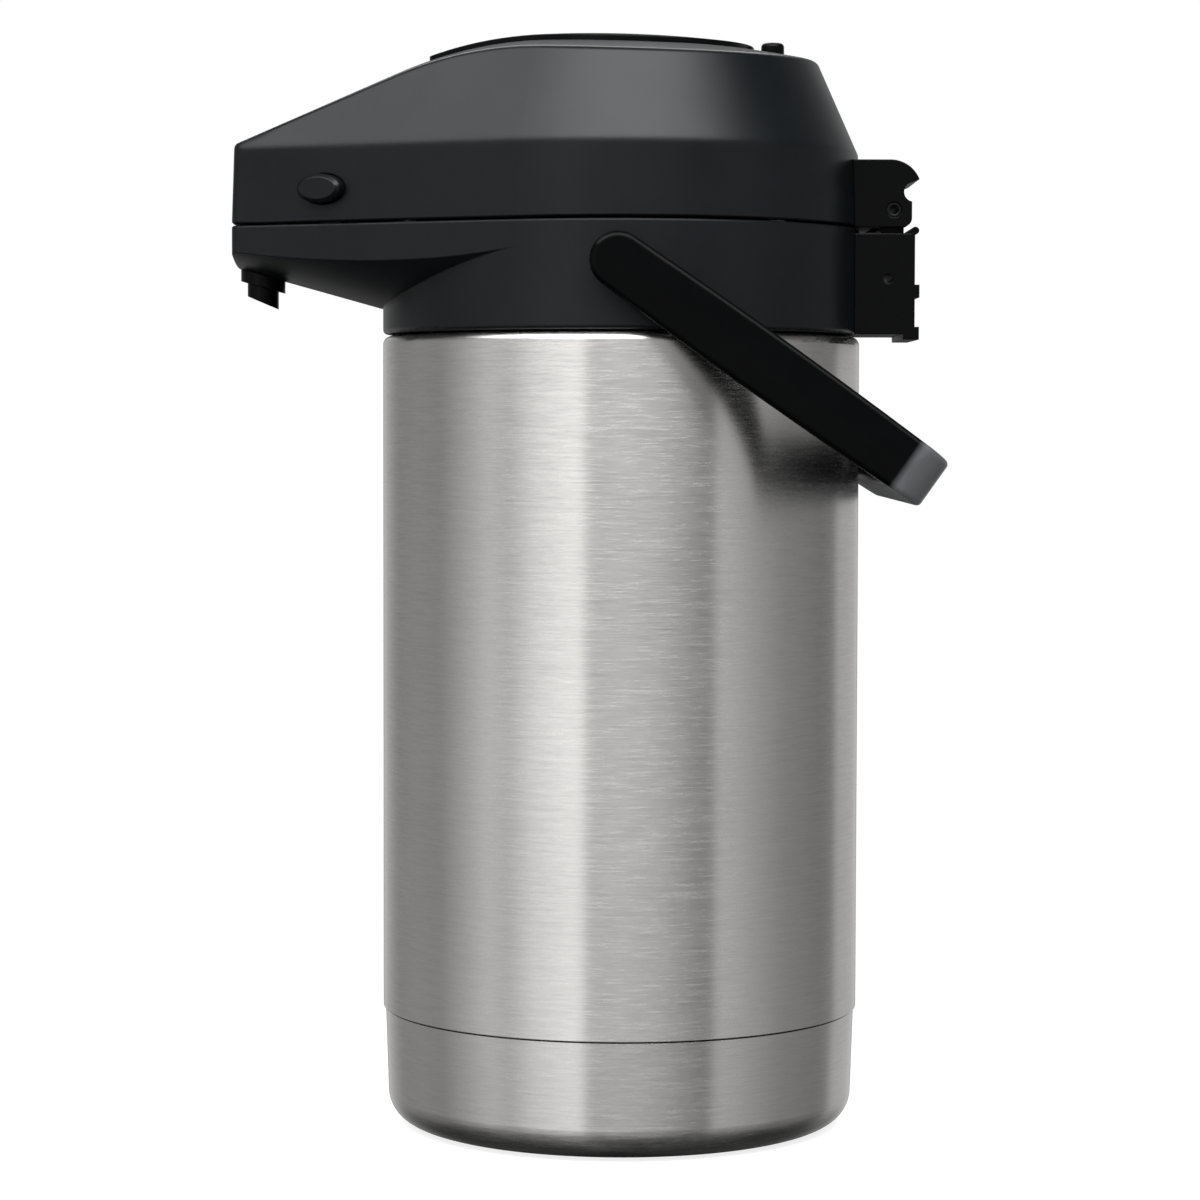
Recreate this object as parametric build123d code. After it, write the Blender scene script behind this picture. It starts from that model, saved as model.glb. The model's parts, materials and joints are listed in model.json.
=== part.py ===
from build123d import *
import os
from math import sin, cos, tan, radians, sqrt

# Airpot: a 3-litre vacuum jug with a hinged pump lid, a bail handle and a spout.
# Millimetres. +Z is up, the spout points along -X, the lid hinge is at +X.
# The origin is the middle of the foot, on the table.

# Main form, driving dimensions
BODY_R = 83.0
SHEET = 0.8
Z_CUP = 0.8
Z_BASE_SEAM = 41.2
SEAM_GAP = 0.6
CUP_RIM_R = BODY_R - 0.8
CUP_LOW_R = BODY_R - 2.1
CUP_EDGE_R = 11.0
DISH_R = 46.0
DISH_DEPTH = 3.2
DISH_RAMP = 4.0
JOGGLE_H = 6.0
JOGGLE_ROOT = 4.0
SOLE_R = 66.0
SOLE_BOSS_R = 41.0
SOLE_BOSS_H = 3.0
SHOULDER_ROLL = 3.0
Z_COLLAR = 275.8
Z_LID = 312.0
LID_GAP = 0.7
Z_CREASE = 338.0

# Plan of the head: a circle, and two tangent sides that close in on a square nose
NOSE_X = -133.0
NOSE_CORNER = 4.0
SIDE_TAPER = 24.6
WALL = 3.0

# Lid form
SKIRT_DRAFT = 0.8
SIDE_LEAN = 24.0
Z_LOFT_TOP = 382.0
NOSE_TOP_Z = 340.4
ROOF_SLOPE = 23.4
SLOPE_END_X = -76.0
CROWN_FRONT_R = 140.0
CROWN_FRONT_TURN = 21.0
CROWN_TOP_R = 400.0
CROWN_TOP_TURN = 12.4
CROWN_Y_R = 280.0
CROWN_Z = 376.6
EDGE_R = 2.4
SEAM_CHAMFER = 0.5

# Underside of the beak
KEEL_X = -82.8
KEEL_Z = 284.6
KEEL_SLOPE = 15.5
HULL_R = 108.0
HULL_WALL = 2.5

# Neck of the flask and what stands on it
NECK_R = 36.8
Z_SHOULDER = 284.0
Z_LIP = 296.0
DECK_Z = 287.0
DECK_T = 3.0
NECK_RING_R = 46.0
FLASK_R = 68.8
FLASK_SHEET = 0.7
Z_FLASK = 21.0
Z_FLASK_SHOULDER = 240.0
FLASK_CONE_H = 26.0
FLASK_CORNER_R = 12.0
CUSHION_R = 54.0
CUSHION_BORE = 48.0
LOCK_RING_R = 51.0
LOCK_RING_H = 5.0
LOCK_RING_NOTCHES = 6

# Stopper, dip tube and outlet
STOPPER_R = 34.9
STOPPER_FLANGE_R = 42.0
Z_STOPPER = 280.0
GASKET_T = 1.5
FLANGE_T = 3.0
TUBE_X = -18.0
TUBE_R = 4.2
TUBE_BORE = 3.2
Z_TUBE = 27.0
CAGE_R = 8.0
CAGE_H = 22.0
CHAMBER_R = 4.4
BALL_R = 3.5
OUTLET_Z = 305.0
OUTLET_R = 3.6
OUTLET_BORE = 2.6
NOZZLE_X = -125.0
NOZZLE_R = 7.7
NOZZLE_TIP_R = 5.4
NOZZLE_BORE = 3.2
Z_NOZZLE_SPIGOT = 299.6
Z_NOZZLE_STEP = 292.2
Z_NOZZLE_TIP = 286.8
NOZZLE_TIP_CUT = 23.0

# Pump
PLATE_INSET = 37.0
PLATE_NOSE_X = -66.0
PLATE_PROUD = 1.8
PLATE_T = 3.0
PLATE_GAP = 0.7
Z_PLATE_SKIRT = 361.0
LINER_Z = 313.5
LINER_T = 2.5
BELLOWS_R = 38.0
BELLOWS_FOLD = 6.0
BELLOWS_FOLDS = 3
BELLOWS_WALL = 1.0
Z_BELLOWS_TOP = 350.0
DISC_T = 3.0
SPRING_R = 17.0
SPRING_WIRE = 1.8
SPRING_TURNS = 4
AIR_X = 12.0
AIR_SEAL_R = 11.0
AIR_BORE = 5.0
AIR_BOSS_H = 6.0
Z_AIR_SPIGOT = 306.6
POSTS = [(52, 46), (52, -46), (-72, 36), (-72, -36)]
POST_R = 4.0
SCREW_R = 1.5
SCREW_HEAD_R = 3.4
SCREW_HEAD_H = 1.8
SCREW_L = 10.0
STEM_R = 9.95
STEM_BORE = 7.5
SOCKET_R = 13.0
SOCKET_BORE = 10.0
SOCKET_H = 8.0

# Lock knob and latch buttons
KNOB_X = 52.5
KNOB_R = 4.0
Z_KNOB = 377.3
LOCK_TRAVEL = 6.0
BUTTON_X = -100.7
BUTTON_Z = 323.6
BUTTON_L = 16.3
BUTTON_H = 9.7
BUTTON_PROUD = 4.3
BUTTON_GAP = 0.4

# Rear hinge
HINGE_X = 93.3
HINGE_Z = 318.4
PIN_R = 2.6
PIN_BORE = 1.55
BRACKET_HALF = 23.0
EAR_T = 8.0
KNUCKLE_R = 5.8
BRACKET_X = 100.5
BRACKET_FRONT_X = 76.0
BRACKET_TOP = 310.3
CROSS_HOLE_X = 91.4
CROSS_HOLE_Z = 294.8
CROSS_HOLE_R = 1.6
BEAD_X = 100.6
BEAD_Z = 311.3
BEAD_R = 1.3
KNUCKLE_GAP = 1.4
LIP = 1.8
RIB_X = 1.6
RIB_LOW = 288.4
RIB_HIGH = 292.8
BLOCK_TOP = 335.5

# Bail handle, drawn pointing backwards and then let down
PIVOT_X = -1.6
PIVOT_Z = 298.2
HANDLE_DROOP = 35.2
HANDLE_REACH = 127.0
BAR_T = 15.0
ARM_IN = 84.2
ARM_OUT = 91.5
ARM_R = 9.3
ARM_MID_W = 20.0
ARM_END_W = 17.4
ROOF_DROP = 1.4
PIVOT_R = 5.0
PIVOT_DEPTH = 3.8
RUNNING_GAP = 0.06


def column(radius, low, high, x=0.0, y=0.0):
    """Upright cylinder between two heights."""
    return Pos(x, y, (low + high) / 2) * Cylinder(radius, high - low)


def across(radius, half, x, z):
    """Cylinder along Y, centred on the middle plane."""
    return Pos(x, 0, z) * Rot(90, 0, 0) * Cylinder(radius, 2 * half)


def block(x1, x2, y1, y2, z1, z2):
    return Pos((x1 + x2) / 2, (y1 + y2) / 2, (z1 + z2) / 2) * Box(x2 - x1, y2 - y1, z2 - z1)


def turned(*points):
    """Solid of revolution about Z from (radius, height) points."""
    outline = Polyline(*points, close=True)
    return revolve(Plane.XZ * make_face(outline), Axis.Z)


def head_outline(inset, z, nose_inset=None):
    """Plan of the head at height z, drawn in by inset all round."""
    nose = NOSE_X + (inset if nose_inset is None else nose_inset)
    radius = BODY_R - inset
    tangent_x = -radius * sin(radians(SIDE_TAPER))
    tangent_y = radius * cos(radians(SIDE_TAPER))
    nose_y = tangent_y - (tangent_x - nose) * tan(radians(SIDE_TAPER))
    rear = ThreePointArc((tangent_x, -tangent_y), (radius, 0), (tangent_x, tangent_y))
    front = Polyline((tangent_x, tangent_y), (nose, nose_y), (nose, -nose_y), (tangent_x, -tangent_y))
    face = make_face([rear, *front.edges()])
    face = fillet(face.vertices().sort_by(Axis.X)[:2], NOSE_CORNER)
    return Pos(0, 0, z) * face


def head_prism(inset, low, high, nose_inset=None):
    return extrude(head_outline(inset, low, nose_inset), high - low)


def crown(offset):
    """Everything under the lid's crowned roof, moved up by offset.

    The fore-and-aft profile is turned about a far axis along X, so the roof also
    falls away gently to both sides.
    """
    axis_z = CROWN_Z - CROWN_Y_R
    slope = radians(ROOF_SLOPE)
    rise = (cos(slope), sin(slope))
    low_x = NOSE_X - 10
    low = (low_x, NOSE_TOP_Z + offset - 9 * tan(slope))
    bend = (SLOPE_END_X, NOSE_TOP_Z + offset + (SLOPE_END_X - NOSE_X + 1) * tan(slope))
    front = JernArc(bend, rise, CROWN_FRONT_R, -CROWN_FRONT_TURN)
    top = JernArc(front @ 1, front % 1, CROWN_TOP_R, -CROWN_TOP_TURN)
    tail = top @ 1 + (top % 1) * 30
    edges = [
        Line(low, bend),
        front,
        top,
        Line(top @ 1, tail),
        Line(tail, (tail.X, axis_z)),
        Line((tail.X, axis_z), (low_x, axis_z)),
        Line((low_x, axis_z), low),
    ]
    axis = Axis((0, 0, axis_z), (1, 0, 0))
    face = (Plane.XZ * make_face(edges)).rotate(axis, -45)
    return revolve(face, axis, 90)


def lid_form(inset, low):
    """Outside of the lid for no inset, or the hollow inside it."""
    crease = SKIRT_DRAFT + inset
    lean = (Z_LOFT_TOP - Z_CREASE) * tan(radians(SIDE_LEAN))
    skirt = loft([head_outline(inset, low), head_outline(crease, Z_CREASE)], ruled=True)
    dome = loft(
        [head_outline(crease, Z_CREASE), head_outline(crease + lean, Z_LOFT_TOP, crease)],
        ruled=True,
    )
    return (skirt + dome) & crown(-inset)


def hull(inset):
    """Round-bottomed keel under the beak, as a long cylinder lying along it."""
    radius = HULL_R - inset
    slope = radians(KEEL_SLOPE)
    centre_x = KEEL_X + HULL_R * sin(slope)
    centre_z = KEEL_Z + HULL_R * cos(slope)
    return Pos(centre_x, 0, centre_z) * Rot(0, 90 + KEEL_SLOPE, 0) * Cylinder(radius, 400)


def outer_corner(solid):
    """The widest round edge among the lowest ones."""
    lowest = solid.edges().filter_by(GeomType.CIRCLE).group_by(Axis.Z)[0]
    return lowest.sort_by(SortBy.RADIUS)[-1:]


def base_cup():
    """Drawn steel cup with a dished bottom and a rim that is joggled into the casing."""
    wall = SHEET
    rim_z = Z_BASE_SEAM - SEAM_GAP / 2
    dish_z = Z_CUP + DISH_DEPTH
    outer = turned(
        (0, dish_z), (DISH_R - DISH_RAMP, dish_z), (DISH_R, Z_CUP), (CUP_LOW_R, Z_CUP),
        (CUP_RIM_R, rim_z), (0, rim_z),
    )
    outer = fillet(outer_corner(outer), CUP_EDGE_R)
    inner = turned(
        (0, dish_z + wall), (DISH_R - DISH_RAMP + wall, dish_z + wall), (DISH_R + wall, Z_CUP + wall),
        (CUP_LOW_R - wall, Z_CUP + wall), (CUP_RIM_R - wall, Z_BASE_SEAM), (0, Z_BASE_SEAM),
    )
    inner = fillet(outer_corner(inner), CUP_EDGE_R - wall)
    joggle_r = BODY_R - wall - 0.05
    root_z = Z_BASE_SEAM - JOGGLE_ROOT
    top_z = Z_BASE_SEAM + JOGGLE_H
    joggle = turned(
        (CUP_RIM_R - wall, root_z), (CUP_RIM_R - wall, rim_z), (joggle_r, rim_z),
        (joggle_r, top_z), (joggle_r - wall, top_z), (joggle_r - wall, root_z),
    )
    return outer - inner + joggle


def foot_disc():
    """Rubber sole, with a boss that sits in the dished bottom."""
    return column(SOLE_R, 0, Z_CUP) + column(SOLE_BOSS_R, 0, Z_CUP + SOLE_BOSS_H)


def outer_casing():
    """Brushed steel shell: straight wall, rolled shoulder and the neck."""
    top = Z_COLLAR - 0.6
    low = Z_BASE_SEAM + SEAM_GAP / 2

    def form(inset, floor, ceiling):
        solid = turned(
            (0, floor), (BODY_R - inset, floor), (BODY_R - inset, top - inset),
            (BODY_R - 5, top - inset),
            (NECK_RING_R, Z_SHOULDER - inset), (NECK_R - inset, Z_SHOULDER - inset),
            (NECK_R - inset, ceiling), (0, ceiling),
        )
        rim = solid.edges().filter_by(GeomType.CIRCLE).sort_by(SortBy.RADIUS).group_by(SortBy.RADIUS)[-1]
        return fillet(rim.sort_by(Axis.Z)[-1:], SHOULDER_ROLL - inset)

    return form(0, low, Z_LIP) - form(SHEET, low - 1, Z_LIP + 1)


def inner_flask():
    """Steel bottle that holds the drink, hung from its lip on the neck."""
    neck = NECK_R - SHEET - 0.1

    def form(inset, ceiling):
        solid = turned(
            (0, Z_FLASK + inset), (FLASK_R - inset, Z_FLASK + inset),
            (FLASK_R - inset, Z_FLASK_SHOULDER), (neck - inset, Z_FLASK_SHOULDER + FLASK_CONE_H),
            (neck - inset, ceiling), (0, ceiling),
        )
        corner = solid.edges().filter_by(GeomType.CIRCLE).group_by(Axis.Z)[0]
        return fillet(corner, FLASK_CORNER_R - inset)

    bottle = form(0, Z_LIP + FLASK_SHEET) - form(FLASK_SHEET, Z_LIP + 5)
    lip = column(NECK_R, Z_LIP, Z_LIP + FLASK_SHEET) - column(neck - FLASK_SHEET / 2, Z_LIP - 1, Z_LIP + 2)
    return bottle + lip


def flask_cushion():
    """Ring that holds the flask's foot off the cup."""
    return column(CUSHION_R, Z_CUP + SHEET, Z_FLASK) - column(CUSHION_BORE, 0, Z_FLASK + 1)


def collar_outside():
    ring = column(BODY_R, Z_COLLAR, Z_LID)
    beak = head_prism(0, Z_COLLAR, Z_LID) & hull(0) & block(-150, -20, -90, 90, Z_COLLAR, Z_LID)
    body = ring + beak
    return chamfer(body.faces().sort_by(Axis.Z)[-1].edges(), SEAM_CHAMFER)


def head_collar():
    """Collar moulding: ring, deck over the neck, and the hollow beak."""
    body = collar_outside()
    rim = body.edges().filter_by(GeomType.CIRCLE).group_by(Axis.Z)[0]
    body = fillet(rim, 1.6)
    deck_top = DECK_Z + DECK_T
    body -= column(BODY_R - WALL, deck_top, Z_LID + 1)
    body -= column(BODY_R - WALL, Z_COLLAR - 1, DECK_Z)
    beak_room = head_prism(WALL, Z_COLLAR, Z_LID + 1) & hull(HULL_WALL)
    beak_room &= block(-150, -20, -90, 90, 250, Z_LID + 1)
    body -= beak_room - column(BODY_R, 250, deck_top)
    body -= column(NECK_R + 0.6, DECK_Z - 1, deck_top + 1)
    body -= column(NOZZLE_TIP_R, 280, Z_LID, NOZZLE_X)
    body -= across(PIVOT_R, 100, PIVOT_X, PIVOT_Z)
    return body


def collar_gasket():
    return column(NECK_RING_R - 1, Z_SHOULDER, DECK_Z) - column(NECK_R + 0.4, 280, 290)


def collar_lock_ring():
    """Notched ring that screws down on the neck and clamps the collar."""
    low = DECK_Z + DECK_T
    high = low + LOCK_RING_H
    ring = column(LOCK_RING_R, low, high) - column(NECK_R + 0.1, low - 1, high + 1)
    pitch = 360 / LOCK_RING_NOTCHES
    for notch in range(LOCK_RING_NOTCHES):
        ring -= Rot(0, 0, pitch * (notch + 0.5)) * block(LOCK_RING_R - 4, 55, -4, 4, low + 1.5, high + 1)
    return ring


def stopper():
    """Insulated plug with its flange, the outlet elbow and the air boss."""
    flange = Z_LIP + FLASK_SHEET + GASKET_T
    body = column(STOPPER_R, Z_STOPPER, flange) + column(STOPPER_FLANGE_R, flange, flange + FLANGE_T)
    elbow = block(TUBE_X - 10, TUBE_X + 7, -7, 7, flange, OUTLET_Z + 5.4)
    elbow = fillet(elbow.edges().filter_by(Axis.Z), 3)
    boss = column(AIR_SEAL_R + 1, flange, flange + AIR_BOSS_H, AIR_X)
    body = body + elbow + boss
    body -= column(TUBE_BORE, Z_STOPPER - 1, OUTLET_Z, TUBE_X)
    body -= Pos(TUBE_X - 10, 0, OUTLET_Z) * Rot(0, 90, 0) * Cylinder(OUTLET_R, 12)
    body -= Pos(TUBE_X - 3, 0, OUTLET_Z) * Rot(0, 90, 0) * Cylinder(OUTLET_BORE, 6)
    body -= column(AIR_BORE, Z_STOPPER - 1, flange + AIR_BOSS_H + 2, AIR_X)
    return body


def stopper_gasket():
    low = Z_LIP + FLASK_SHEET
    return column(STOPPER_FLANGE_R - 0.5, low, low + GASKET_T) - column(STOPPER_R + 0.2, low - 1, low + 3)


def valve_cage():
    """Chamber under the stopper with the ball that shuts it when the jug tips."""
    low = Z_STOPPER - CAGE_H
    seat = low + 7
    body = column(CAGE_R, low, Z_STOPPER, TUBE_X)
    body -= column(TUBE_R, low - 1, seat, TUBE_X)
    body -= column(BALL_R - 0.9, seat - 1, seat + 2, TUBE_X)
    body -= column(CHAMBER_R, seat + 1, Z_STOPPER + 1, TUBE_X)
    return body


def valve_ball():
    seat = Z_STOPPER - CAGE_H + 8
    lift = sqrt(BALL_R ** 2 - (BALL_R - 0.9) ** 2) + 0.15
    return Pos(TUBE_X, 0, seat + lift) * Sphere(BALL_R)


def dip_tube():
    high = Z_STOPPER - CAGE_H + 7
    tube = column(TUBE_R, Z_TUBE, high, TUBE_X) - column(TUBE_BORE, Z_TUBE - 1, high + 1, TUBE_X)
    for turn in (0, 90):
        slot = Rot(0, 0, turn) * Box(12, 2.4, 8)
        tube -= Pos(TUBE_X, 0, Z_TUBE) * slot
    return tube


def outlet_tube():
    """Silicone tube from the stopper to the nozzle, turning down inside the nose."""
    rear = TUBE_X - 4
    bend = 4.6
    low = Z_NOZZLE_SPIGOT
    path = FilletPolyline((rear, 0, OUTLET_Z), (NOZZLE_X, 0, OUTLET_Z), (NOZZLE_X, 0, low), radius=bend)
    start = Plane(origin=(rear, 0, OUTLET_Z), z_dir=(-1, 0, 0))
    tube = sweep(start * Circle(OUTLET_R), path)
    return tube - sweep(start * Circle(OUTLET_BORE), path)


def spout_nozzle():
    """Stepped nozzle; both ends are cut parallel to the sloping keel."""
    upper = column(NOZZLE_R, 280, 303, NOZZLE_X)
    upper &= Pos(NOZZLE_X, 0, Z_NOZZLE_STEP) * Rot(0, KEEL_SLOPE, 0) * Pos(0, 0, 20) * Box(40, 40, 40)
    tip = column(NOZZLE_TIP_R, 270, 303, NOZZLE_X)
    tip &= Pos(NOZZLE_X, 0, Z_NOZZLE_TIP) * Rot(0, NOZZLE_TIP_CUT, 0) * Pos(0, 0, 20) * Box(40, 40, 40)
    body = upper + tip - collar_outside()
    body += column(NOZZLE_TIP_R - 0.05, 292, Z_NOZZLE_SPIGOT, NOZZLE_X)
    return body - column(NOZZLE_BORE, 270, 310, NOZZLE_X)


def hinge_bracket():
    """Rear box of the collar with the middle knuckle, the stop bead and the foot lip."""
    outline = [
        (BRACKET_FRONT_X, Z_COLLAR), (BRACKET_X - 4, Z_COLLAR), (BRACKET_X - 4, Z_COLLAR - LIP),
        (BRACKET_X + 1.5, Z_COLLAR - LIP), (BRACKET_X + 1.5, Z_COLLAR + 2.6), (BRACKET_X, Z_COLLAR + 2.6),
        (BRACKET_X, RIB_LOW), (BRACKET_X + RIB_X, RIB_LOW),
        (BRACKET_X + RIB_X, RIB_HIGH), (BRACKET_X, RIB_HIGH),
        (BRACKET_X, BRACKET_TOP), (BRACKET_FRONT_X, BRACKET_TOP),
    ]
    face = make_face(Polyline(*outline, close=True))
    body = extrude(Plane.XZ * face, BRACKET_HALF, both=True)
    body += across(BEAD_R, BRACKET_HALF, BEAD_X, BEAD_Z)
    knuckle_half = BRACKET_HALF - EAR_T - 0.4
    body += across(KNUCKLE_R, knuckle_half, HINGE_X, HINGE_Z)
    body += block(HINGE_X - 4, HINGE_X + 4, -knuckle_half, knuckle_half, BRACKET_TOP - 2, HINGE_Z)
    body -= across(PIN_R, 40, HINGE_X, HINGE_Z)
    body -= across(CROSS_HOLE_R, 40, CROSS_HOLE_X, CROSS_HOLE_Z)
    return body - column(BODY_R, 260, 330)


def lid_hinge_profile():
    """Side view of the lid's hinge block: square top, hook, notch and knuckle."""
    top = BLOCK_TOP
    low = Z_LID + 0.5
    face = make_face([
        Line((BRACKET_FRONT_X, low), (BRACKET_FRONT_X, top)),
        Line((BRACKET_FRONT_X, top), (91.5, top)),
        ThreePointArc((91.5, top), (98.6, 333.2), (101.9, 328.8)),
        Line((101.9, 328.8), (98.0, 327.2)),
        ThreePointArc((98.0, 327.2), (96.7, 323.9), (99.4, 321.2)),
        Line((99.4, 321.2), (99.4, low + 3.2)),
        ThreePointArc((99.4, low + 3.2), (98.5, low + 0.9), (96.2, low)),
        Line((96.2, low), (BRACKET_FRONT_X, low)),
    ])
    return Plane.XZ * face


def lid_hinge_block():
    """Rear block of the lid: two ears either side of the bracket's middle knuckle."""
    clear_r = KNUCKLE_R + KNUCKLE_GAP
    body = extrude(lid_hinge_profile(), BRACKET_HALF, both=True)
    gap_half = BRACKET_HALF - EAR_T
    body -= across(clear_r, gap_half, HINGE_X, HINGE_Z)
    body -= block(HINGE_X - clear_r, 110, -gap_half, gap_half, Z_LID - 1, HINGE_Z)
    body -= across(PIN_R + 0.05, 40, HINGE_X, HINGE_Z)
    return body - lid_form(0, Z_LID + LID_GAP) - column(BODY_R, 300, Z_LID + LID_GAP + 0.1)


def hinge_pin():
    """Tubular pin through all the knuckles."""
    pin = across(PIN_R - 0.03, BRACKET_HALF - 0.4, HINGE_X, HINGE_Z)
    return pin - across(PIN_BORE, 40, HINGE_X, HINGE_Z)


def on_side(shape, side):
    """Put a shape drawn about the origin, with its outside along +X, on the beak's flank."""
    turn = 90 + SIDE_TAPER
    return Pos(BUTTON_X, side * button_y(), BUTTON_Z) * Rot(0, 0, side * turn) * shape


def button_y():
    """Distance of the beak's flank from the middle plane, at the button."""
    tangent_x = -BODY_R * sin(radians(SIDE_TAPER))
    tangent_y = BODY_R * cos(radians(SIDE_TAPER))
    return tangent_y - (tangent_x - BUTTON_X) * tan(radians(SIDE_TAPER))


def oval(grow, inner, outer):
    """Oval bar along X from inner to outer, grown by grow all round."""
    face = Plane.YZ * Ellipse(BUTTON_L / 2 + grow, BUTTON_H / 2 + grow)
    return Pos(inner, 0, 0) * extrude(face, outer - inner)


def latch_button(side):
    """Oval push button with its flange and the hooked arm that reaches into the collar."""
    cap = oval(0, -WALL - 3, BUTTON_PROUD)
    cap = chamfer(cap.edges().filter_by(lambda e: e.center().X > BUTTON_PROUD - 0.1), 1.2)
    flange = oval(2, -WALL - 5, -WALL - 1.0)
    arm = block(-WALL - 5, -WALL - 2.6, -4, 4, -BUTTON_Z + Z_LID - 7, 2)
    nib = block(-WALL - 5, -WALL - 1.4, -4, 4, -BUTTON_Z + Z_LID - 7, -BUTTON_Z + Z_LID - 4.6)
    return on_side(cap + flange + arm + nib, side)


def roof_edges(lid):
    """The long edges where the roof meets the leaning sides."""

    def wanted(edge):
        centre = edge.center()
        beside = centre.Z > Z_CREASE + 6 and abs(centre.Y) > 20
        behind = centre.Z > Z_CREASE + 12 and centre.X > 62
        return beside or behind

    return lid.edges().filter_by(wanted)


def lid_shell():
    """Hollow lid moulding with the pump opening, its guide rim and the screw posts."""
    low = Z_LID + LID_GAP
    outside = lid_form(0, low)
    outside = fillet(roof_edges(outside), EDGE_R)
    outside = chamfer(outside.faces().sort_by(Axis.Z)[0].edges(), SEAM_CHAMFER)
    room = lid_form(WALL, low - 0.01)
    opening = PLATE_INSET - PLATE_GAP
    nose_inset = PLATE_NOSE_X - NOSE_X - PLATE_GAP
    rim = head_prism(opening - 1.3, Z_PLATE_SKIRT - 8, 390, nose_inset - 1.3)
    posts = [column(POST_R, LINER_Z + LINER_T, 390, x, y) for x, y in POSTS]
    body = outside - room + (outside & rim)
    for post in posts:
        body += (outside & post) - head_prism(opening - 0.5, 300, 390, nose_inset - 0.5)
    body -= head_prism(opening, 300, 400, nose_inset)
    for x, y in POSTS:
        body -= column(SCREW_R, 300, LINER_Z + LINER_T + SCREW_L + 2, x, y)
    for side in (-1, 1):
        body -= on_side(oval(BUTTON_GAP, -10, 10), side)
    slot = SlotCenterToCenter(LOCK_TRAVEL, 2 * KNOB_R + 0.8)
    return body - Pos(KNOB_X + LOCK_TRAVEL / 2, 0, 364) * extrude(slot, 30)


def lid_liner():
    """Plate that closes the lid from below and carries the bellows and the air spigot."""
    body = head_prism(WALL + 0.3, LINER_Z, LINER_Z + LINER_T)
    body += column(AIR_SEAL_R - 2, Z_AIR_SPIGOT, LINER_Z, AIR_X)
    body -= column(AIR_BORE, 300, 330, AIR_X)
    for x, y in POSTS:
        body -= column(SCREW_R + 0.1, 300, 330, x, y)
    for side in (-1, 1):
        body -= on_side(block(-WALL - 9, 0, -5, 5, -20, 0), side)
    return body


def air_seal():
    """Ring between the stopper's air boss and the liner's spigot."""
    boss = Z_LIP + FLASK_SHEET + GASKET_T + AIR_BOSS_H
    return column(AIR_SEAL_R, boss + 0.2, Z_AIR_SPIGOT, AIR_X) - column(AIR_BORE, 300, 310, AIR_X)


def lid_screws():
    screws = []
    for x, y in POSTS:
        head = column(SCREW_HEAD_R, LINER_Z - SCREW_HEAD_H, LINER_Z, x, y)
        shaft = column(SCREW_R - 0.03, LINER_Z - 1, LINER_Z + LINER_T + SCREW_L, x, y)
        screws.append(head + shaft)
    return Compound(screws)


def bellows():
    """Folded rubber wall of the pump, open at both ends."""
    low = LINER_Z + LINER_T
    step = (Z_BELLOWS_TOP - low) / (2 * BELLOWS_FOLDS)
    outer = []
    for fold in range(2 * BELLOWS_FOLDS + 1):
        radius = BELLOWS_R - BELLOWS_FOLD * (fold % 2 == 0)
        outer.append((radius, low + fold * step))
    inner = [(radius - BELLOWS_WALL * 2, z) for radius, z in reversed(outer)]
    return turned(*outer, *inner)


def return_spring():
    """Spring of square wire round the stem, from the liner up to the disc."""
    low = LINER_Z + LINER_T + SPRING_WIRE
    height = Z_BELLOWS_TOP - SPRING_WIRE - low
    path = Helix(height / SPRING_TURNS, height, SPRING_R)
    start = Plane(origin=path @ 0, z_dir=path % 0)
    return Pos(0, 0, low) * sweep(start * Rectangle(SPRING_WIRE, SPRING_WIRE), path, is_frenet=True)


def bellows_disc():
    """Pressure disc on top of the bellows, with the socket for the plate's stem."""
    top = Z_BELLOWS_TOP + DISC_T
    disc = column(BELLOWS_R - 1, Z_BELLOWS_TOP, top)
    socket = column(SOCKET_R, Z_BELLOWS_TOP, Z_BELLOWS_TOP + SOCKET_H)
    return disc + (socket - column(SOCKET_BORE, top, top + SOCKET_H))


def push_plate():
    """Crowned pump plate with its skirt, cross ribs and stem."""
    nose = PLATE_NOSE_X - NOSE_X
    body = head_prism(PLATE_INSET, Z_PLATE_SKIRT, 390, nose) & crown(PLATE_PROUD)
    body -= head_prism(PLATE_INSET + 2, Z_PLATE_SKIRT - 1, 390, nose + 2) & crown(PLATE_PROUD - PLATE_T)
    stem = column(STEM_R, Z_BELLOWS_TOP + DISC_T, 372) - column(STEM_BORE, Z_BELLOWS_TOP, 371)
    ribs = block(-55, 40, -1, 1, Z_PLATE_SKIRT + 1, 372) + block(-1, 1, -38, 38, Z_PLATE_SKIRT + 1, 370)
    ribs &= crown(PLATE_PROUD - 1)
    return body + (stem & crown(PLATE_PROUD - 1)) + (ribs - column(8, 300, 371))


def lock_slider():
    """Lock knob on its foot, which slides under the roof."""
    knob = column(KNOB_R, 365, Z_KNOB, KNOB_X)
    knob = fillet(knob.edges().group_by(Axis.Z)[-1], 1.5)
    foot = block(KNOB_X - 4, KNOB_X + 6, -9, 9, 363.2, 365.6)
    return knob + foot


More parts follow.
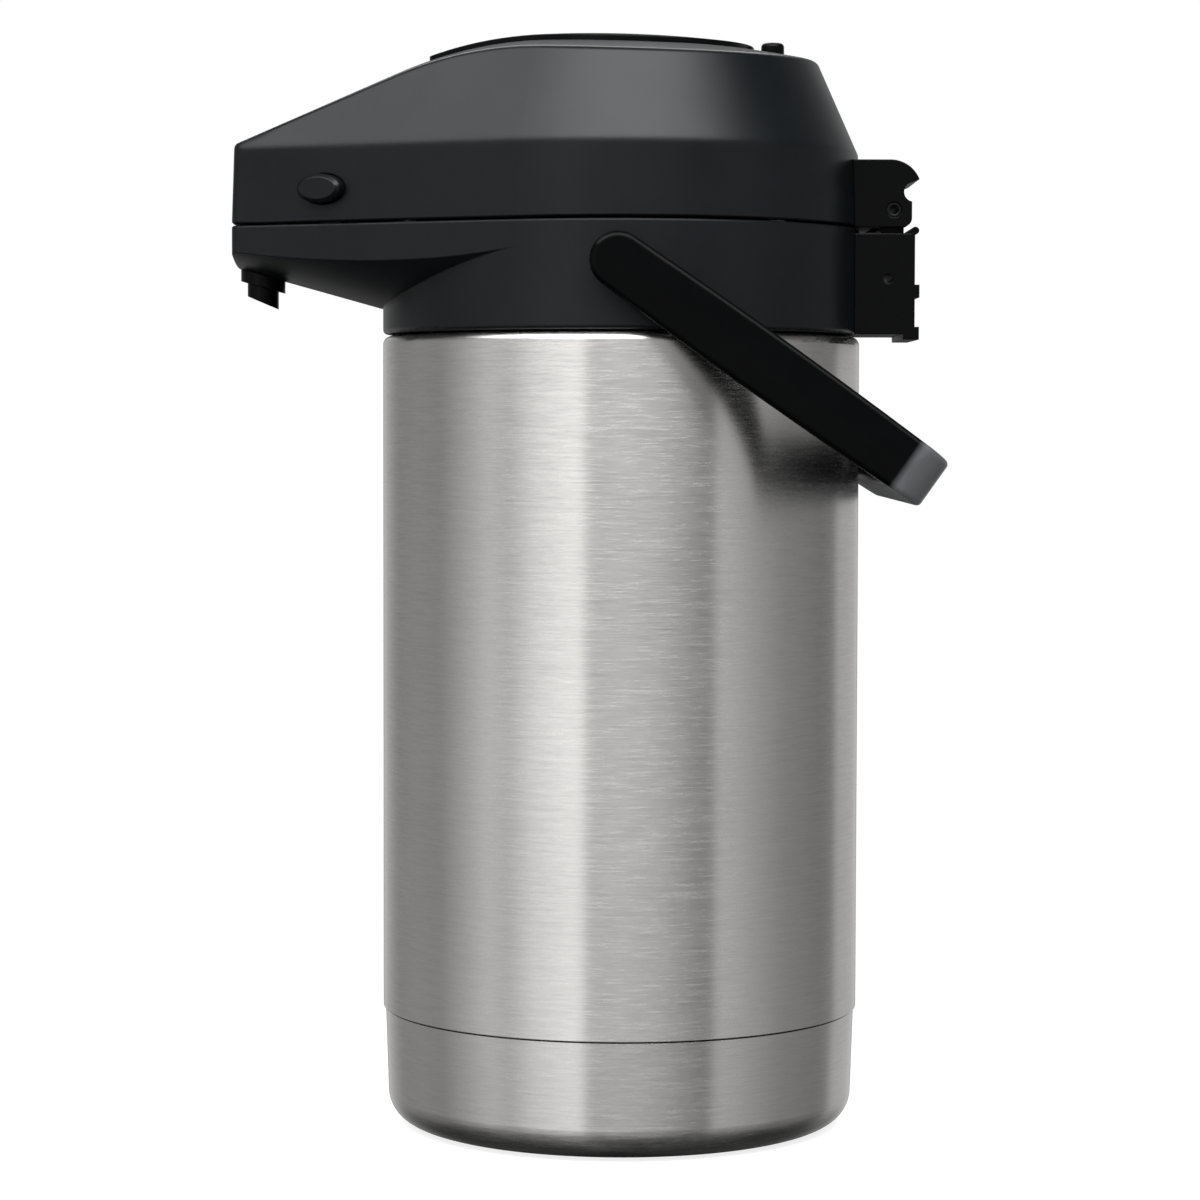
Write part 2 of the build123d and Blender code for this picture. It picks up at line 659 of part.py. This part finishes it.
def bail_handle():
    """One-piece bail: tapered roofed arms, rounded into the crossbar."""
    half = ARM_END_W / 2
    side = make_face([
        ThreePointArc((0, -ARM_R), (-ARM_R, 0), (0, ARM_R)),
        Spline((0, ARM_R), (50, ARM_MID_W / 2), (HANDLE_REACH + 5, half)),
        Line((HANDLE_REACH + 5, half), (HANDLE_REACH + 5, -half)),
        Spline((HANDLE_REACH + 5, -half), (50, -ARM_MID_W / 2), (0, -ARM_R)),
    ])
    side = extrude(Plane.XZ * side, 100, both=True)
    outside = Rectangle(2 * HANDLE_REACH, 2 * ARM_OUT)
    outside = fillet(outside.vertices(), 13)
    inner_reach = HANDLE_REACH - BAR_T
    inside = Rectangle(2 * inner_reach, 2 * ARM_IN)
    inside = fillet(inside.vertices(), 7)
    plan = extrude(outside - inside, 20, both=True)
    roof = make_face(Polyline(
        (-12, -12), (-12, 12), (ARM_OUT - ROOF_DROP, 12), (ARM_OUT, 0), (ARM_OUT - ROOF_DROP, -12), close=True
    ))
    roof = extrude(Plane.YZ * roof, 140, both=True)
    roof += mirror(roof, Plane.XZ)
    body = side & plan & roof & block(-20, 200, -100, 100, -20, 20)
    body = fillet(body.edges().filter_by(lambda e: abs(e.center().Y) > ARM_IN + 3 or e.center().X > 110), 1.8)
    for y in (-1, 1):
        hole = Pos(0, y * (ARM_IN + PIVOT_DEPTH / 2), 0) * Rot(90, 0, 0)
        body -= hole * Cylinder(PIVOT_R + RUNNING_GAP, PIVOT_DEPTH + 0.5)
    return Pos(PIVOT_X, 0, PIVOT_Z) * Rot(0, HANDLE_DROOP, 0) * body


def handle_pivot(side):
    """Stub shaft through the collar wall, with its flange inside."""
    inner = BODY_R - WALL - 3.4
    outer = ARM_IN + PIVOT_DEPTH
    shaft = Pos(PIVOT_X, side * (inner + outer) / 2, PIVOT_Z) * Rot(90, 0, 0)
    flange = Pos(PIVOT_X, side * (inner + 1), PIVOT_Z) * Rot(90, 0, 0)
    pivot = shaft * Cylinder(PIVOT_R, outer - inner) + flange * Cylinder(7.5, 2)
    return pivot & block(-20, 20, -100, 100, DECK_Z + DECK_T + 0.2, 320)


NODES = {
    "base_cup": base_cup,
    "foot_disc": foot_disc,
    "outer_casing": outer_casing,
    "inner_flask": inner_flask,
    "flask_cushion": flask_cushion,
    "head_collar": head_collar,
    "collar_gasket": collar_gasket,
    "collar_lock_ring": collar_lock_ring,
    "stopper": stopper,
    "stopper_gasket": stopper_gasket,
    "valve_cage": valve_cage,
    "valve_ball": valve_ball,
    "dip_tube": dip_tube,
    "outlet_tube": outlet_tube,
    "spout_nozzle": spout_nozzle,
    "hinge_bracket": hinge_bracket,
    "hinge_pin": hinge_pin,
    "handle_pivot_left": lambda: handle_pivot(1),
    "handle_pivot_right": lambda: handle_pivot(-1),
    "lid_shell": lid_shell,
    "lid_hinge_block": lid_hinge_block,
    "lid_liner": lid_liner,
    "air_seal": air_seal,
    "lid_screws": lid_screws,
    "bellows": bellows,
    "return_spring": return_spring,
    "bellows_disc": bellows_disc,
    "push_plate": push_plate,
    "lock_slider": lock_slider,
    "latch_button_left": lambda: latch_button(1),
    "latch_button_right": lambda: latch_button(-1),
    "bail_handle": bail_handle,
}

os.makedirs("parts", exist_ok=True)
for name, build in NODES.items():
    export_step(build(), f"parts/{name}.step")
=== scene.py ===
import json
from math import cos, pi, radians, sin

import bpy
from mathutils import Matrix, Vector

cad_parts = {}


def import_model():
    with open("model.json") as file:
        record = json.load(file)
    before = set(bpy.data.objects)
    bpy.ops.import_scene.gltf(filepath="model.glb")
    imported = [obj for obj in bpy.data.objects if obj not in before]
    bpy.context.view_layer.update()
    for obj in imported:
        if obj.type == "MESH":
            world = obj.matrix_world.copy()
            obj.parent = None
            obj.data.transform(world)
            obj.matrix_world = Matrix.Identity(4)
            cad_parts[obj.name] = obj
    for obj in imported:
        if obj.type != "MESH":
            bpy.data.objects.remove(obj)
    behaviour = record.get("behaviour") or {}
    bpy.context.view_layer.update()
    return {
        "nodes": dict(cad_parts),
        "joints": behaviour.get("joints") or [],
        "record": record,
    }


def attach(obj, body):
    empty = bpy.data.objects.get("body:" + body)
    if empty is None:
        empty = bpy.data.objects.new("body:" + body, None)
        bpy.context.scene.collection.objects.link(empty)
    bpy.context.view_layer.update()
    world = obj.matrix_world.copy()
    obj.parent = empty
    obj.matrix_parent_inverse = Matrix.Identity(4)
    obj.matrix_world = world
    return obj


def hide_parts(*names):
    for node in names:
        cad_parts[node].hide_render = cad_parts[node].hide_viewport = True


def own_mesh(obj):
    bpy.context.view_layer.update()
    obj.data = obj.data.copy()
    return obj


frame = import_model()
joints = {joint["name"]: joint for joint in frame["joints"]}
subparts = frame["record"]["subparts"]

MM = 0.001

# The photograph's camera: places and clipping in metres, lens and sensor in mm, angles in degrees
CAMERA_DISTANCE = 1.231
CAMERA_X = -0.00716
CAMERA_Z = 0.2449
CAMERA_PITCH = 2.87
CAMERA_ROLL = 0.13
CAMERA_LENS = 105.4
CAMERA_CLIP = (0.05, 50)
SENSOR = 36.0

# Studio surroundings as seen from the object: azimuth in degrees from the camera's
# side, turning towards +X, and the brightness there
STUDIO_BANDS = [
    (-180, 0.08), (-171, 0.12), (-166, 0.50), (-156, 0.40), (-136, 0.25), (-115, 0.29), (-96, 0.28),
    (-80, 0.45), (-66, 0.62), (-55, 0.52), (-42, 0.82), (-22, 1.04), (-18, 1.00), (-16, 0.50),
    (0, 0.52), (16, 0.44), (34, 0.26), (44, 0.18), (47, 0.52), (60, 0.46), (85, 0.28),
    (112, 0.20), (124, 0.22), (129, 0.42), (154, 0.42), (166, 0.50), (171, 0.12), (180, 0.08),
]

# Brightness of the surroundings from straight down (0) through level (0.5) to straight up (1)
UP_BANDS = [
    (0.0, 0.06), (0.2, 0.12), (0.3, 0.5), (0.38, 1.12), (0.46, 1.05), (0.5, 1.0), (0.62, 0.9),
    (0.7, 0.5), (0.9, 0.35), (1.0, 0.8),
]
STUDIO_STRENGTH = 1.15

# Large soft box high in front: its brightness by azimuth and by height, measured as above
BOX_AROUND = [
    (-95, 0.0), (-75, 0.5), (-49, 0.68), (-25, 0.85), (-10, 1.0), (5, 1.0), (20, 0.98), (39, 0.95),
    (55, 0.7), (68, 0.1), (80, 0.0),
]
BOX_UP = [(0.75, 0.0), (0.80, 1.0), (0.93, 1.0), (0.96, 0.0)]
BOX_STRENGTH = 8.5

# Floor: plain white beyond FLOOR_FAR, and from FLOOR_NEAR inwards pale enough to show the shadow
FLOOR_HALF = 6.0
FLOOR_GLOW = 0.80
FLOOR_PALE = (0.32, 0.32, 0.32, 1)
FLOOR_BOUNCE = (0.45, 0.45, 0.45, 1)
FLOOR_NEAR = 0.12
FLOOR_FAR = 0.34
WHITE = (1, 1, 1, 1)

# Lamps: size and aim of both boxes, and the place and power of each
LAMP_SIZE = (1.7, 0.8)
LAMP_TARGET = Vector((0, 0, 0.35))
LAMPS = {
    "over_front": (Vector((0.0, -1.3, 1.75)), 6),
    "over_back": (Vector((0.0, 1.3, 1.75)), 16),
}

# Noise values between which nearly all of a surface lies, the narrower spans that fine lines
# and rubbing use, and the depth of the fine bump
MOST_NOISE = (0.3, 0.7)
LINE_NOISE = (0.34, 0.66)
RUB_NOISE = (0.35, 0.65)
GRAIN_DEPTH = 0.15 * MM

# Steel: scratches and streaks a metre, along X, Y and Z, and spots a metre in its cloud with
# their darkest and brightest; how dark and how deep the lines are, the rounding of edges, and
# gloss drawn out across the lines
SCRATCHES = (260, 260, 3600)
STREAKS = (70, 70, 1500)
STEEL_CLOUD = 14.0
STEEL_CLOUD_SHADE = (0.95, 1.0)
STEEL_TINT = 0.22
STEEL_BUMP = 0.08
STEEL_EDGE = 0.4 * MM
STEEL_SAMPLES = 4
BRUSHING = {"Anisotropic": 0.85, "Anisotropic Rotation": 0.25}

# Seam near the foot: its height, and the painted shade in its groove, solid for a half-width each side
# of that height
# # and fading beyond
SEAM_Z = 41.2 * MM
SEAM_SHADE_HALF = 0.25 * MM
SEAM_SHADE_FADE = 0.15 * MM
SEAM_SHADE_COLOUR = (0.01, 0.01, 0.01, 1)

# Plastic: spots a metre in its cloud and in the finer rubbing, each with its darkest and
# brightest, and the rounding of edges
PLASTIC_CLOUD = 22.0
PLASTIC_CLOUD_SHADE = (0.88, 1.1)
PLASTIC_RUB = 160.0
PLASTIC_RUB_SHADE = (0.9, 1.05)
PLASTIC_EDGE = 0.7 * MM
PLASTIC_SAMPLES = 6
HANDLE_EDGE = 1.6 * MM

# The lid's crease: its height and softer edge, kept to CREASE_NEAR and gone by CREASE_FAR
CREASE_Z = 338.0 * MM
CREASE_EDGE = 3.5 * MM
CREASE_NEAR = 4 * MM
CREASE_FAR = 7 * MM

# The handle hangs this far below level; a painted reflection makes its end paler from a distance past
# the pivot
HANDLE_PIVOT = Vector(joints["handle_swing"]["pos_m"])
HANDLE_DROOP = radians(35.2)
END_SHEEN_START = 114 * MM
END_SHEEN_FADE = 2.5 * MM
END_SHEEN_COLOUR = (0.075, 0.079, 0.083, 1)

# Nodes whose finish differs from their slot's
OWN_FINISH = {
    "lid_shell": "lid", "hinge_pin": "pin", "bail_handle": "handle",
    "latch_button_left": "black_satin", "latch_button_right": "black_satin",
}

# Nodes that shorten under the push plate, with the names of the pieces that stand in for them
FOLDING = {"bellows": "folding_bellows", "return_spring": "folding_spring"}


def linked(name, data):
    """A new object in the scene."""
    obj = bpy.data.objects.new(name, data)
    bpy.context.scene.collection.objects.link(obj)
    return obj


def camera():
    """The photograph's view: level but for a small pitch and roll."""
    data = bpy.data.cameras.new("photo_camera")
    data.lens = CAMERA_LENS
    data.sensor_width = SENSOR
    data.clip_start, data.clip_end = CAMERA_CLIP
    obj = linked("photo_camera", data)
    place = Matrix.Translation((CAMERA_X, -CAMERA_DISTANCE, CAMERA_Z))
    look = Matrix.Rotation(radians(90 - CAMERA_PITCH), 4, "X")
    roll = Matrix.Rotation(radians(CAMERA_ROLL), 4, "Z")
    obj.matrix_world = place @ look @ roll
    bpy.context.scene.camera = obj


class Nodes:
    """A short way to build a node tree."""

    def __init__(self, tree):
        self.tree = tree
        tree.nodes.clear()

    def add(self, kind, inputs=None, **settings):
        """A node with its settings; an input is a value or another node's output."""
        node = self.tree.nodes.new(kind)
        for name, value in settings.items():
            setattr(node, name, value)
        for name, value in (inputs or {}).items():
            self.feed(node.inputs[name], value)
        return node

    def feed(self, socket, value):
        """Link another node's output to an input, or set the input's own value."""
        if isinstance(value, bpy.types.NodeSocket):
            self.tree.links.new(value, socket)
        else:
            socket.default_value = value

    def maths(self, operation, first, second=0.0, third=0.0):
        inputs = {0: first, 1: second, 2: third}
        return self.add("ShaderNodeMath", inputs, operation=operation).outputs[0]

    def blend(self, kind, first, second, amount=1.0):
        """Mix of two colours; kind is the blend type, such as MIX or MULTIPLY."""
        node = self.add("ShaderNodeMix", data_type="RGBA", blend_type=kind)
        for name, value in (("Factor", amount), ("A", first), ("B", second)):
            self.feed(next(one for one in node.inputs if one.name == name and one.enabled), value)
        return next(one for one in node.outputs if one.enabled)

    def mix(self, factor, first, second):
        """Mix of two shaders."""
        return self.add("ShaderNodeMixShader", {0: factor, 1: first, 2: second}).outputs[0]

    def light(self, kind, colour, strength):
        """Background or Emission of one colour."""
        return self.add(kind, {"Color": colour, "Strength": strength}).outputs[0]

    def noise(self, where, scale, detail, stretch=(1, 1, 1), roughness=0.5):
        """Noise of so many spots a metre, stretched along the axes."""
        mapped = self.add("ShaderNodeMapping", {"Vector": where, "Scale": stretch}).outputs[0]
        settings = {"Vector": mapped, "Scale": scale, "Detail": detail, "Roughness": roughness}
        return self.add("ShaderNodeTexNoise", settings).outputs["Fac"]

    def between(self, value, low, high, first, last):
        """Value from low to high, mapped to first to last and held there."""
        settings = {"Value": value, "From Min": low, "From Max": high, "To Min": first, "To Max": last}
        return self.add("ShaderNodeMapRange", settings).outputs[0]

    def apart(self, vector):
        """The X, Y and Z outputs of a vector."""
        return self.add("ShaderNodeSeparateXYZ", {"Vector": vector}).outputs

    def off_height(self, where, height):
        """How far a point is above or below a height."""
        return self.maths("ABSOLUTE", self.maths("SUBTRACT", self.apart(where)["Z"], height))

    def ramp(self, factor, stops):
        """Colour ramp from (position, grey level) stops."""
        node = self.add("ShaderNodeValToRGB", {"Fac": factor})
        elements = node.color_ramp.elements
        while len(elements) < len(stops):
            elements.new(1.0)
        for element, (place, level) in zip(elements, stops):
            element.position = place
            element.color = (level, level, level, 1)
        return node.outputs["Color"]

    def shade(self, noise, span, levels):
        """Grey that follows a noise across a span of its values, from the first level to the second."""
        return self.ramp(noise, list(zip(span, levels)))

    def ramp_around(self, turn, bands):
        """Colour ramp from (azimuth, grey level) bands, once round."""
        return self.ramp(turn, [((azimuth + 180) / 360, level) for azimuth, level in bands])

    def relief(self, grain, strength, edge, samples):
        """Normal of a surface with its edges rounded to a radius, and a fine bump on it."""
        rounded = self.add("ShaderNodeBevel", {"Radius": edge}, samples=samples).outputs[0]
        settings = {"Height": grain, "Strength": strength, "Distance": GRAIN_DEPTH, "Normal": rounded}
        return self.add("ShaderNodeBump", settings).outputs[0]


def new_material(name):
    """An empty material and its node tree."""
    material = bpy.data.materials.new(name)
    material.use_nodes = True
    return material, Nodes(material.node_tree)


def world():
    """White behind the object, and a banded studio round it for light and gloss."""
    sky = bpy.data.worlds.new("studio")
    bpy.context.scene.world = sky
    sky.use_nodes = True
    make = Nodes(sky.node_tree)
    way = make.apart(make.add("ShaderNodeTexCoord").outputs["Generated"])
    angle = make.maths("ARCTAN2", way["X"], make.maths("MULTIPLY", way["Y"], -1.0))
    turn = make.maths("MULTIPLY_ADD", angle, 1 / (2 * pi), 0.5)
    height = make.maths("MULTIPLY_ADD", way["Z"], 0.5, 0.5)
    bands = make.blend("MULTIPLY", make.ramp_around(turn, STUDIO_BANDS), make.ramp(height, UP_BANDS))
    box = make.blend("MULTIPLY", make.ramp_around(turn, BOX_AROUND), make.ramp(height, BOX_UP))
    bands_light = make.light("ShaderNodeBackground", bands, STUDIO_STRENGTH)
    box_light = make.light("ShaderNodeBackground", box, BOX_STRENGTH)
    studio = make.add("ShaderNodeAddShader", {0: bands_light, 1: box_light}).outputs[0]
    white = make.light("ShaderNodeBackground", WHITE, 1.0)
    seen = make.add("ShaderNodeLightPath").outputs["Is Camera Ray"]
    make.add("ShaderNodeOutputWorld", {"Surface": make.mix(seen, studio, white)})


def lamp(name, place, power):
    """Long soft box that looks at the middle of the object."""
    data = bpy.data.lights.new(name, "AREA")
    data.shape = "RECTANGLE"
    data.size, data.size_y = LAMP_SIZE
    data.energy = power
    obj = linked(name, data)
    obj.location = place
    obj.rotation_euler = (LAMP_TARGET - place).to_track_quat("-Z", "Y").to_euler()


def floor():
    """White floor that keeps a soft shadow; gloss looks through it to the studio."""
    mesh = bpy.data.meshes.new("floor")
    half = FLOOR_HALF
    corners = [(-half, -half, 0), (half, -half, 0), (half, half, 0), (-half, half, 0)]
    mesh.from_pydata(corners, [], [(0, 1, 2, 3)])
    material, make = new_material("pale_floor")
    place = make.add("ShaderNodeNewGeometry").outputs["Position"]
    away = make.add("ShaderNodeVectorMath", {0: place}, operation="LENGTH").outputs["Value"]
    far = make.between(away, FLOOR_NEAR, FLOOR_FAR, 0.0, 1.0)
    glow = make.light("ShaderNodeEmission", WHITE, FLOOR_GLOW)
    shaded = make.add("ShaderNodeBsdfDiffuse", {"Color": FLOOR_PALE}).outputs[0]
    near = make.add("ShaderNodeAddShader", {0: glow, 1: shaded}).outputs[0]
    seen = make.mix(far, near, make.light("ShaderNodeEmission", WHITE, 1.0))
    bounce = make.add("ShaderNodeBsdfDiffuse", {"Color": FLOOR_BOUNCE}).outputs[0]
    clear = make.add("ShaderNodeBsdfTransparent").outputs[0]
    ray = make.add("ShaderNodeLightPath").outputs
    unseen = make.mix(ray["Is Glossy Ray"], bounce, clear)
    surface = make.mix(ray["Is Camera Ray"], unseen, seen)
    make.add("ShaderNodeOutputMaterial", {"Surface": surface})
    mesh.materials.append(material)
    linked("floor", mesh)


def brushed_steel(name, base, smooth, rough, contrast=1.0):
    """Steel brushed round the body: short level scratches, finer lines and a faint cloud."""
    material, make = new_material(name)
    where = make.add("ShaderNodeTexCoord").outputs["Object"]
    scratch = make.noise(where, 1.0, 4.0, SCRATCHES, 0.7)
    streak = make.noise(where, 1.0, 3.0, STREAKS, 0.6)
    grain = make.maths("MULTIPLY", make.maths("ADD", scratch, streak), 0.5)
    lines = make.shade(grain, LINE_NOISE, (1 - STEEL_TINT * contrast, 1.0))
    cloud = make.shade(make.noise(where, STEEL_CLOUD, 2.0), MOST_NOISE, STEEL_CLOUD_SHADE)
    colour = make.blend("MULTIPLY", make.blend("MULTIPLY", base, lines), cloud)
    # Painted shade: a dark band along the seam groove near the foot, where its shadow falls
    from_seam = make.off_height(where, SEAM_Z)
    seam_shade = make.between(from_seam, SEAM_SHADE_HALF, SEAM_SHADE_HALF + SEAM_SHADE_FADE, 1.0, 0.0)
    shader = make.add("ShaderNodeBsdfPrincipled", {
        "Base Color": make.blend("MIX", colour, SEAM_SHADE_COLOUR, seam_shade), "Metallic": 1.0,
        "Roughness": make.between(grain, *MOST_NOISE, smooth, rough),
        "Tangent": make.add("ShaderNodeTangent", direction_type="RADIAL", axis="Z").outputs[0],
        "Normal": make.relief(grain, STEEL_BUMP, STEEL_EDGE, STEEL_SAMPLES), **BRUSHING,
    })
    make.add("ShaderNodeOutputMaterial", {"Surface": shader.outputs[0]})
    return material


def painted_end_sheen(make, where, colour):
    """The handle's colour, with a painted reflection that makes it paler towards its end."""
    place = make.apart(where)
    level, drop = cos(HANDLE_DROOP), sin(HANDLE_DROOP)
    back = make.maths("MULTIPLY_ADD", place["X"], level, -HANDLE_PIVOT.x * level)
    down = make.maths("SUBTRACT", HANDLE_PIVOT.z, place["Z"])
    along = make.maths("MULTIPLY_ADD", down, drop, back)
    # Painted reflection: paler from this distance along the arm, where its rounded end catches light
    end_sheen = make.between(along, END_SHEEN_START, END_SHEEN_START + END_SHEEN_FADE, 0.0, 1.0)
    return make.blend("MIX", colour, END_SHEEN_COLOUR, end_sheen)


def crease_edge(make, where):
    """Edge radius of the lid: larger along its crease than elsewhere."""
    from_crease = make.off_height(where, CREASE_Z)
    return make.between(from_crease, CREASE_NEAR, CREASE_FAR, CREASE_EDGE, PLASTIC_EDGE)


def plastic(name, base, smooth, rough, spots, bump, specular=0.24, part=None):
    """Moulded plastic: spark texture, a faint cloud and soft edges.

    spots is the texture's spots a metre, and part is lid or handle for what only that has.
    """
    material, make = new_material(name)
    where = make.add("ShaderNodeTexCoord").outputs["Object"]
    grain = make.noise(where, spots, 3.0)
    cloud = make.noise(where, PLASTIC_CLOUD, 3.0)
    rub = make.noise(where, PLASTIC_RUB, 4.0)
    colour = make.blend("MULTIPLY", base, make.shade(cloud, MOST_NOISE, PLASTIC_CLOUD_SHADE))
    colour = make.blend("MULTIPLY", colour, make.shade(rub, RUB_NOISE, PLASTIC_RUB_SHADE))
    edge = PLASTIC_EDGE
    if part == "handle":
        # Painted reflection that makes the handle's end paler
        colour = painted_end_sheen(make, where, colour)
        edge = HANDLE_EDGE
    if part == "lid":
        edge = crease_edge(make, where)
    shader = make.add("ShaderNodeBsdfPrincipled", {
        "Base Color": colour, "Roughness": make.between(cloud, *MOST_NOISE, smooth, rough),
        "Specular IOR Level": specular, "Normal": make.relief(grain, bump, edge, PLASTIC_SAMPLES),
    })
    make.add("ShaderNodeOutputMaterial", {"Surface": shader.outputs[0]})
    return material


def materials():
    """Every finish by the name of its slot, or by OWN_FINISH's names.

    Steel has a colour, its least and most roughness and the contrast of its lines. Plastic
    has a colour, its least and most roughness, spots a metre, bump and specular level.
    """
    satin = (0.0026, 0.0038, 0.0050, 1)
    smooth = (0.0010, 0.0011, 0.0013, 1)
    grey = (0.30, 0.31, 0.32, 1)
    pale = (0.62, 0.62, 0.60, 1)
    rubber = (0.015, 0.015, 0.015, 1)
    return {
        "steel_shell": brushed_steel("brushed_shell", (0.74, 0.73, 0.715, 1), 0.20, 0.30),
        "steel_inner": brushed_steel("drawn_steel", (0.62, 0.62, 0.62, 1), 0.2, 0.3, 0.5),
        "bright_steel": brushed_steel("bright_steel", (0.75, 0.75, 0.76, 1), 0.12, 0.2, 0.3),
        "black_satin": plastic("satin_black", satin, 0.30, 0.36, 2600, 0.12),
        "black_smooth": plastic("smooth_black", smooth, 0.22, 0.30, 1500, 0.05, 0.10),
        "grey_plastic": plastic("grey_moulding", grey, 0.4, 0.5, 1500, 0.05, 0.5),
        "silicone": plastic("silicone", pale, 0.45, 0.55, 900, 0.03, 0.5),
        "black_rubber": plastic("rubber", rubber, 0.6, 0.72, 1800, 0.15, 0.4),
        "pin": plastic("blackened_pin", smooth, 0.3, 0.4, 1500, 0.04, 0.22),
        "lid": plastic("satin_black_lid", satin, 0.30, 0.36, 2600, 0.12, part="lid"),
        "handle": plastic("handle_black", smooth, 0.18, 0.24, 1500, 0.05, 0.06, part="handle"),
    }


def dress_nodes(finish):
    """Give every CAD node its own finish, or else its slot's."""
    for row in subparts:
        mesh = frame["nodes"][row["node"]].data
        mesh.materials.clear()
        mesh.materials.append(finish[OWN_FINISH.get(row["node"], row["material_slot"])])


def folding(node, name):
    """Stand in for a node that shortens under the push plate with a copy that rides with the lid."""
    piece = linked(name, frame["nodes"][node].data.copy())
    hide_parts(node)
    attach(piece, "lid")
    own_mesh(piece)


camera()
world()
floor()
for name, settings in LAMPS.items():
    lamp(name, *settings)
dress_nodes(materials())
for node, name in FOLDING.items():
    folding(node, name)

bpy.context.scene.view_settings.view_transform = "Standard"
